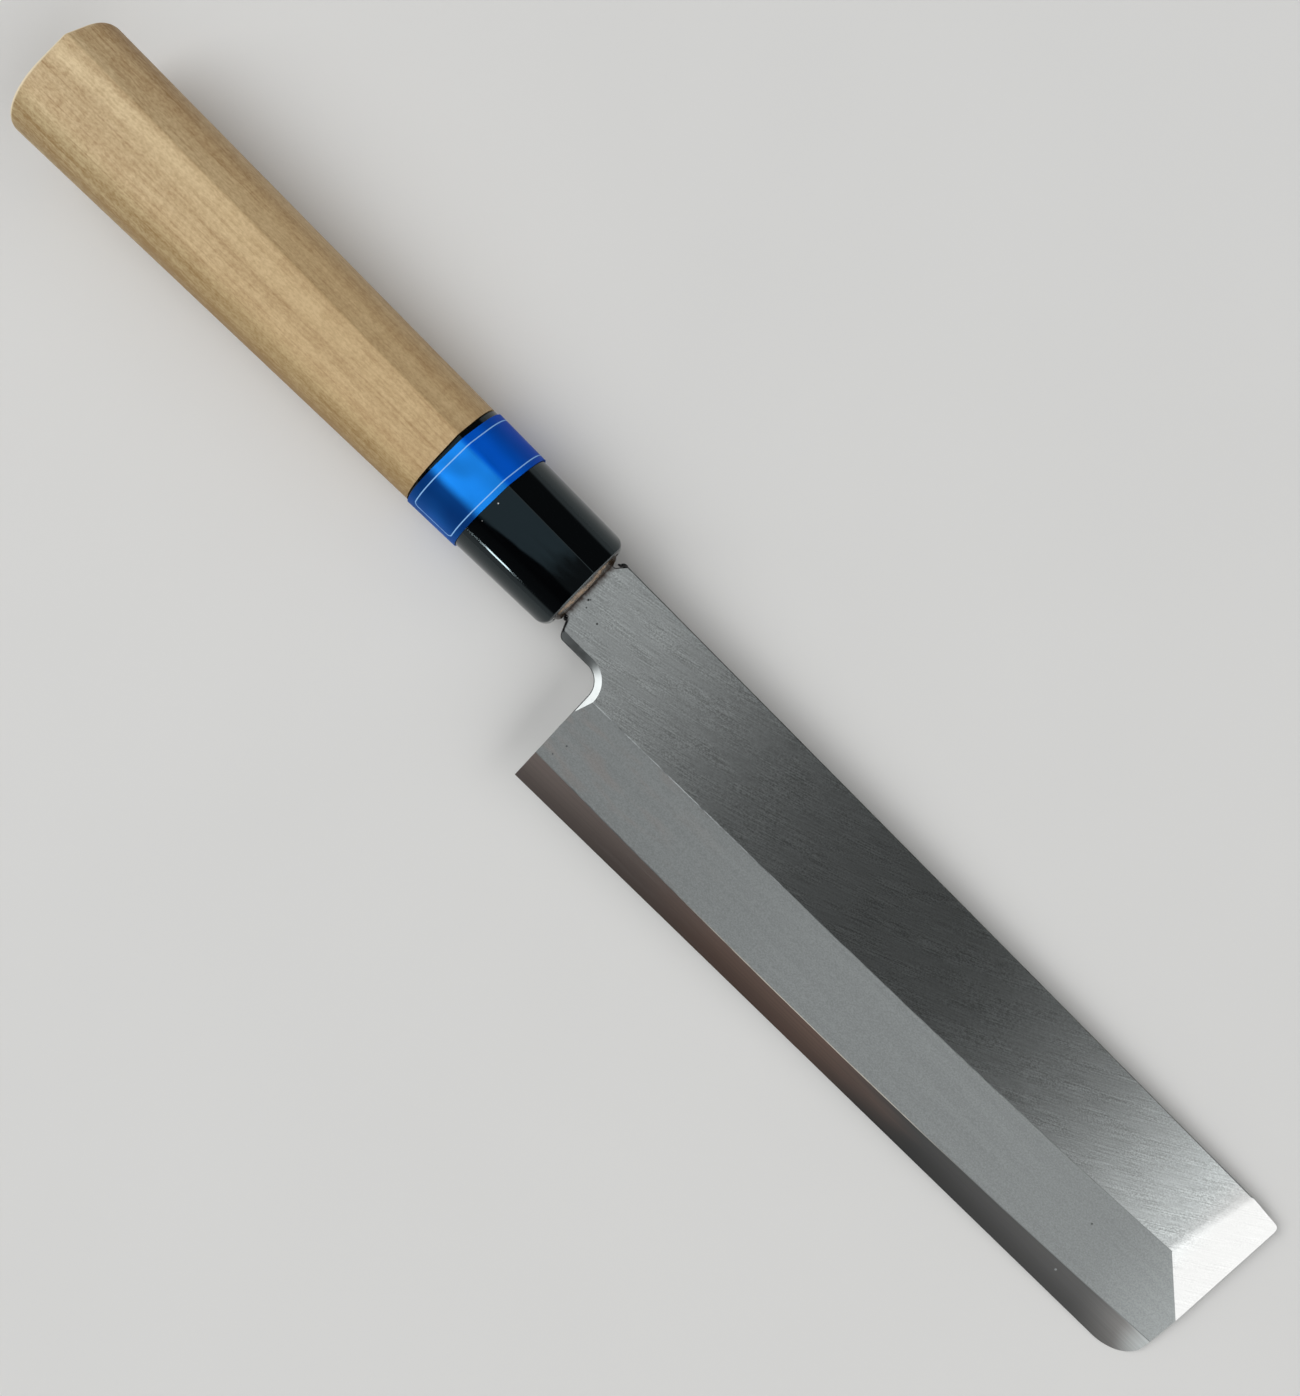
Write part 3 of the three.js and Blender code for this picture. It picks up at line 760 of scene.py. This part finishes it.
GRINDS = ("flat", "bevel", "strip", "facet", "chamfer", "rim", "back", "line")
WELD = 0.002 * MM
CUT_MERGE = 0.001 * MM
FLAT_ANGLE = math.radians(0.05)
LEAST_ROUNDED = 0.7 * MM
LUMP_TURN = math.radians(20)
# Limits on the parts of a face's normal that tell the ground surfaces apart.
RIM_BELOW = 0.7
CHAMFER_BELOW = 0.96
FACET_ABOVE = 0.05
FLAT_ABOVE = -0.03


def grind_of(face, blade):
    """Which ground surface of the blade a face belongs to, in the knife's axes."""
    middle = face.calc_center_median()
    normal = face.normal
    if middle.x < 0 or abs(normal.z) < RIM_BELOW:
        return "rim"
    if normal.z < 0:
        return "back"
    if normal.z < CHAMFER_BELOW:
        return "chamfer"
    if normal.x > FACET_ABOVE:
        return "facet"
    if normal.y > FLAT_ABOVE:
        return "flat"
    return "strip" if middle.z < blade.strip_thickness - blade.spine_thickness / 2 else "bevel"


def edges_between(bm, first, second):
    """Edges where two kinds of ground surface meet."""
    pair = {GRINDS.index(first), GRINDS.index(second)}
    return [edge for edge in bm.edges if {face.material_index for face in edge.link_faces} == pair]


def blend_facet(bm, blade):
    """Cuts flat and facet on both sides of their line, so that their shading blends between the cuts."""
    ends = [vert.co for edge in edges_between(bm, "flat", "facet") for vert in edge.verts]
    lowest = min(ends, key=lambda place: place.y)
    highest = max(ends, key=lambda place: place.y)
    across = (highest - lowest).cross(Vector((0, 0, 1))).normalized()
    kinds = {GRINDS.index("flat"), GRINDS.index("facet")}
    for side in (-blade.facet_softness, blade.facet_softness):
        faces = [face for face in bm.faces if face.material_index in kinds]
        edges = {edge for face in faces for edge in face.edges}
        verts = {vert for face in faces for vert in face.verts}
        bmesh.ops.bisect_plane(
            bm, geom=faces + list(edges) + list(verts), dist=CUT_MERGE,
            plane_co=lowest + across * side, plane_no=across,
        )


def draw_lines(bm, blade):
    """Bevels the lines above the bevel and above the edge strip into thin bright bands."""
    lines = edges_between(bm, "flat", "bevel") + edges_between(bm, "bevel", "strip")
    bmesh.ops.bevel(
        bm, geom=lines, offset=blade.line_width / 2, offset_type="OFFSET", affect="EDGES",
        segments=1, profile=0.5, material=GRINDS.index("line"),
    )


def add_scale(bm):
    """Adds the lumps of forge scale on the upper shoulder and by the lower step."""
    upper = ((2.3, 7.35, 1.0), (0.62, 0.36, 0.7)), ((1.75, 6.85, 1.0), (0.5, 0.25, 0.66))
    lower = ((0.62, -6.1, 0.5), (0.6, 0.4, 0.9)), ((1.35, -6.35, 0.4), (0.35, 0.4, 0.9))
    for place, size in upper + lower:
        shape = Matrix.Translation(Vector(place) * MM) @ Matrix.Rotation(LUMP_TURN, 4, "Z")
        shape = shape @ Matrix.Diagonal((*(Vector(size) * MM), 1.0))
        lump = bmesh.ops.create_icosphere(bm, subdivisions=3, radius=1.0, matrix=shape)["verts"]
        for face in {face for vert in lump for face in vert.link_faces}:
            face.material_index = GRINDS.index("rim")
            face.smooth = True


class MakeBlade(Operator):
    """Finish the blade: its grinds, soft ground lines and steels"""

    bl_idname = "usuba.make_blade"
    bl_label = "Blade"

    def execute(self, context):
        blade = context.scene.usuba_blade
        bm = bmesh.new()
        bm.from_mesh(frame["nodes"]["blade"].data)
        bmesh.ops.transform(bm, matrix=knife.inverted(), verts=bm.verts)
        bmesh.ops.remove_doubles(bm, verts=bm.verts, dist=WELD)
        bmesh.ops.dissolve_limit(
            bm, angle_limit=FLAT_ANGLE, verts=bm.verts, edges=bm.edges, delimit={"NORMAL"},
        )
        for face in bm.faces:
            face.smooth = True
            face.material_index = GRINDS.index(grind_of(face, blade))
        blend_facet(bm, blade)
        draw_lines(bm, blade)
        self.soften_rim(bm, blade)
        add_scale(bm)
        brushed = brushed_steel(blade)
        finishes = (
            brushed, matte_steel(blade), edge_steel(blade), brushed, polished_steel(blade),
            painted_shade_rim_steel(blade), back_steel(blade), line_steel(blade),
        )
        piece = add_piece("blade_finished", bm, finishes, "blade")
        soften = piece.modifiers.new("Soft rim", "BEVEL")
        soften.limit_method = "WEIGHT"
        soften.width = blade.rim_softness
        soften.segments = 3
        soften.material = GRINDS.index("rim")
        soften.profile = 0.5
        soften.use_clamp_overlap = False
        soften.harden_normals = True
        return {"FINISHED"}

    def soften_rim(self, bm, blade):
        """Marks which corners stay sharp and which of the blade's outer edges are rounded."""
        weights = bm.edges.layers.float.new("bevel_weight_edge")
        thick = LEAST_ROUNDED - blade.spine_thickness / 2
        for edge in bm.edges:
            pair = {GRINDS[face.material_index] for face in edge.link_faces}
            alike = len(pair) == 1 or pair == {"flat", "facet"}
            edge.smooth = alike and edge.calc_face_angle() < SMOOTH_ANGLE
            outer = pair in ({"flat", "rim"}, {"chamfer", "rim"})
            if outer and max(vert.co.z for vert in edge.verts) > thick:
                edge[weights] = 1.0


# The handle

class MakeGrip(Operator):
    """Model the wooden grip with its tenon and its socket for the tang"""

    bl_idname = "usuba.make_grip"
    bl_label = "Grip"

    def execute(self, context):
        sizes = context.scene.usuba_handle
        shoulder = -sizes.collar_length - sizes.fit_gap
        tenon_inset = sizes.collar_wall + sizes.fit_gap
        tenon_front = -sizes.seal_recess - sizes.seal_thickness - sizes.fit_gap
        end = -sizes.collar_length - sizes.grip_length
        tight = rounded_end(end, sizes.butt_round, -1)
        full = rounded_end(end, sizes.butt_round_spine, -1)
        outside = []
        for step in reversed(range(ROUND_STEPS + 1)):
            outside.append(self.butt_ring(sizes, tight[step], full[step], 1 - step / ROUND_STEPS))
        outside.append(handle_ring(sizes, shoulder, 0.0))
        inside = [
            handle_ring(sizes, shoulder, tenon_inset),
            handle_ring(sizes, tenon_front, tenon_inset),
            slot_ring(sizes, tenon_front, sizes.fit_gap),
            slot_ring(sizes, -sizes.tang_length - sizes.fit_gap, sizes.fit_gap),
        ]
        bm, rings = loft(outside + inside)
        soften_ridge(bm, rings[:len(outside)], sizes.grip_softness)
        shade_smooth(add_piece("grip_wood", bm, [pale_wood(sizes)], "handle_grip"))
        return {"FINISHED"}

    def butt_ring(self, sizes, tight, full, rise):
        """A ring of the butt's rounded edge, from the tight corner to the full one across the handle."""
        ring = []
        for near, far in zip(handle_ring(sizes, *tight, rise=rise), handle_ring(sizes, *full, rise=rise)):
            across = max(0.0, min(1.0, 0.5 + near.y / sizes.mouth_width))
            ring.append(near.lerp(far, across * across * (3 - 2 * across)))
        return ring


class MakeFerrule(Operator):
    """Model the black collar with its rounded mouth"""

    bl_idname = "usuba.make_ferrule"
    bl_label = "Collar"

    def execute(self, context):
        sizes = context.scene.usuba_handle
        outside = [handle_ring(sizes, -sizes.collar_length, 0.0)]
        mouth = rounded_end(0.0, sizes.mouth_round, 1)
        outside += [self.mouth_ring(sizes, x, inset) for x, inset in mouth]
        bore = [
            self.mouth_ring(sizes, 0.0, sizes.collar_wall),
            handle_ring(sizes, -sizes.collar_length, sizes.collar_wall),
        ]
        bm, rings = loft(outside + bore, closed=True)
        soften_ridge(bm, rings[:len(outside)], sizes.collar_softness)
        shade_smooth(add_piece("collar_black", bm, [black_resin(sizes)], "ferrule"))
        return {"FINISHED"}

    def mouth_ring(self, sizes, x, inset):
        """A section near the mouth, whose sides fall back to round its corners as seen from above."""
        ring = handle_ring(sizes, x, inset)
        straight = sizes.mouth_width / 2 - sizes.mouth_corner
        for point in ring:
            past = min(max(abs(point.y) - straight, 0.0), sizes.mouth_corner)
            point.x -= sizes.mouth_corner - math.sqrt(sizes.mouth_corner ** 2 - past ** 2)
        return ring


class MakeLabel(Operator):
    """Model the foil label round the collar"""

    bl_idname = "usuba.make_label"
    bl_label = "Label"

    def execute(self, context):
        sizes = context.scene.usuba_handle
        back = -sizes.collar_length + sizes.label_setback
        front = back + sizes.label_width
        top = -sizes.foil_gap - sizes.foil_thickness
        under = -sizes.foil_gap
        corners = ((back, top), (front, top), (front, under), (back, under))
        sections = [handle_ring(sizes, x, inset, sizes.label_skew) for x, inset in corners]
        bm, rings = loft(sections, closed=True)
        soften_ridge(bm, rings[:2], sizes.label_softness)
        shade_smooth(add_piece("label_foil", bm, [blue_foil(sizes)], "label_band"))
        return {"FINISHED"}


class MakeSeal(Operator):
    """Model the brown seal round the tang in the mouth of the collar"""

    bl_idname = "usuba.make_seal"
    bl_label = "Seal"

    def execute(self, context):
        sizes = context.scene.usuba_handle
        inset = sizes.collar_wall + sizes.fit_gap
        front = -sizes.seal_recess
        back = front - sizes.seal_thickness
        rim = handle_ring(sizes, front, inset)
        lip = slot_ring(sizes, front + sizes.seal_bulge, sizes.fit_gap)
        swell = Vector((sizes.seal_bulge / 4, 0, 0))
        halfway = [outer.lerp(inner, 0.5) + swell for outer, inner in zip(rim, lip)]
        sections = [handle_ring(sizes, back, inset), rim, halfway, lip, slot_ring(sizes, back, sizes.fit_gap)]
        bm, _ = loft(sections, closed=True)
        shade_smooth(add_piece("seal_brown", bm, [brown_resin(sizes)], "tang_seal"))
        return {"FINISHED"}


# The stage

LAMP_DISTANCE = 6.0
FLOOR_REACH = 4.0
HORIZON_LEVEL = 0.5
SENSOR_WIDTH = 36.0
NEAR_CLIP = 0.01


def window_lamp(name, target, turn, lean, wide, tall, radiance):
    """A soft lamp seen from the target: its turn from +X, lean from overhead and sizes, all in degrees."""
    lamp = bpy.data.lights.new(name, "AREA")
    lamp.shape = "RECTANGLE"
    lamp.size = 2 * LAMP_DISTANCE * math.tan(math.radians(wide) / 2)
    lamp.size_y = 2 * LAMP_DISTANCE * math.tan(math.radians(tall) / 2)
    lamp.energy = radiance * math.pi * lamp.size * lamp.size_y
    holder = bpy.data.objects.new(name, lamp)
    aim = Matrix.Rotation(math.radians(turn - 90), 4, "Z") @ Matrix.Rotation(math.radians(-lean), 4, "X")
    holder.matrix_world = Matrix.Translation(target) @ aim @ Matrix.Translation((0, 0, LAMP_DISTANCE))
    bpy.context.scene.collection.objects.link(holder)


def studio_surround(scene):
    """A surround that is pale at the horizon and dark above it, with two window panes overhead."""
    world = bpy.data.worlds.new("studio_surround")
    world.use_nodes = True
    scene.world = world
    nodes = Nodes(world.node_tree)
    direction = nodes.add("ShaderNodeTexCoord").outputs["Generated"]
    ahead, side, height = nodes.add("ShaderNodeSeparateXYZ", {0: direction}).outputs
    # From the horizon up: where each change starts and ends, in degrees from overhead, and the level past it.
    level = HORIZON_LEVEL
    for start, end, past in ((75, 50, 0.3), (50, 36, 0.0), (22, 16, 0.095)):
        limits = [math.cos(math.radians(lean)) for lean in (start, end)]
        level = nodes.span(height, *limits, level, past)
    # Above the horizon it is darker to both sides.
    aside = nodes.times(nodes.span(nodes.math("ABSOLUTE", side), 0.3, 0.6), nodes.span(height, 0.15, 0.32))
    level = nodes.times(level, nodes.span(aside, 0.0, 1.0, 1.0, 0.1))
    tone = nodes.add("ShaderNodeCombineColor", {0: level, 1: level, 2: level}).outputs[0]
    # Two panes of a window, each given by its sides as places on the unit sphere with a softness.
    # The collar mirrors the first one, which is cut off askew, and the blade's flat the second.
    askew = nodes.plus(side, ahead, -4.0)
    collar_pane = ((ahead, -0.34, 0.0, 0.006), (side, -0.6, -0.16, 0.02), (askew, -0.31, 2.0, 0.03))
    flat_pane = ((ahead, -0.34, 0.118, 0.02), (side, -0.16, 0.45, 0.02))
    for shade, sides in (((0.415, 0.51, 0.575), collar_pane), ((0.63, 0.63, 0.63), flat_pane)):
        inside = nodes.span(height, 0.0, 0.1)
        for place, start, end, soft in sides:
            limits = (start - soft, start + soft, end - soft, end + soft)
            inside = nodes.times(inside, nodes.band(place, *limits))
        tone = nodes.mix(inside, tone, shade)
    nodes.fill(world.node_tree.nodes["Background"].inputs["Color"], tone)


class MakeStage(Operator):
    """Set the floor, the soft lamps, the surround and the camera"""

    bl_idname = "usuba.make_stage"
    bl_label = "Stage"

    def execute(self, context):
        scene = context.scene
        stage = scene.usuba_stage
        bm = bmesh.new()
        bmesh.ops.create_grid(bm, x_segments=2, y_segments=2, size=FLOOR_REACH)
        mesh = bpy.data.meshes.new("floor")
        bm.to_mesh(mesh)
        bm.free()
        mesh.materials.append(pale_floor(stage))
        floor = bpy.data.objects.new("floor", mesh)
        scene.collection.objects.link(floor)
        studio_surround(scene)
        middle = (cad_low + cad_high) / 2
        window_lamp("window_ahead", middle, turn=2, lean=53.4, wide=90, tall=42, radiance=1.55)
        window_lamp("window_behind", middle, turn=208, lean=45, wide=56, tall=42, radiance=2.9)
        window_lamp("window_low", middle, turn=-93.9, lean=73, wide=1.45, tall=3.8, radiance=24.0)
        self.aim_camera(scene, stage)
        scene.view_settings.view_transform = "Standard"
        return {"FINISHED"}

    def aim_camera(self, scene, stage):
        """A camera straight above the knife."""
        origin = knife.to_translation()
        camera = bpy.data.cameras.new("overhead_camera")
        camera.sensor_width = SENSOR_WIDTH
        camera.lens = SENSOR_WIDTH * stage.focal_pixels / stage.picture_height
        camera.clip_start = NEAR_CLIP
        holder = bpy.data.objects.new("overhead_camera", camera)
        holder.location = (origin.x + stage.camera_ahead, origin.y - stage.camera_side, stage.camera_height)
        holder.rotation_euler = (0.0, 0.0, stage.camera_turn)
        scene.collection.objects.link(holder)
        scene.camera = holder


# The panel and the script's own run

OPERATORS = (MakeBlade, MakeGrip, MakeFerrule, MakeLabel, MakeSeal, MakeStage)
SETTINGS = (("usuba_blade", BladeSettings), ("usuba_handle", HandleSettings), ("usuba_stage", StageSettings))


class UsubaPanel(Panel):
    """Lists the pieces and the settings of the knife"""

    bl_idname = "VIEW3D_PT_usuba"
    bl_label = "Usuba Knife"
    bl_space_type = "VIEW_3D"
    bl_region_type = "UI"
    bl_category = "Usuba"

    def draw(self, context):
        layout = self.layout
        for operator in OPERATORS:
            layout.operator(operator.bl_idname)
        for name, group in SETTINGS:
            box = layout.box()
            box.label(text=group.__doc__)
            settings = getattr(context.scene, name)
            for field in group.__annotations__:
                box.prop(settings, field)


def register():
    """Registers the settings, the operators and the panel."""
    for name, group in SETTINGS:
        bpy.utils.register_class(group)
        setattr(bpy.types.Scene, name, PointerProperty(type=group))
    for made in (*OPERATORS, UsubaPanel):
        bpy.utils.register_class(made)


def unregister():
    """Takes everything back that register added."""
    for made in (UsubaPanel, *reversed(OPERATORS)):
        bpy.utils.unregister_class(made)
    for name, group in reversed(SETTINGS):
        delattr(bpy.types.Scene, name)
        bpy.utils.unregister_class(group)


def main():
    """Builds every piece and the stage."""
    register()
    bpy.ops.usuba.make_blade()
    bpy.ops.usuba.make_grip()
    bpy.ops.usuba.make_ferrule()
    bpy.ops.usuba.make_label()
    bpy.ops.usuba.make_seal()
    bpy.ops.usuba.make_stage()


if __name__ == "__main__":
    main()
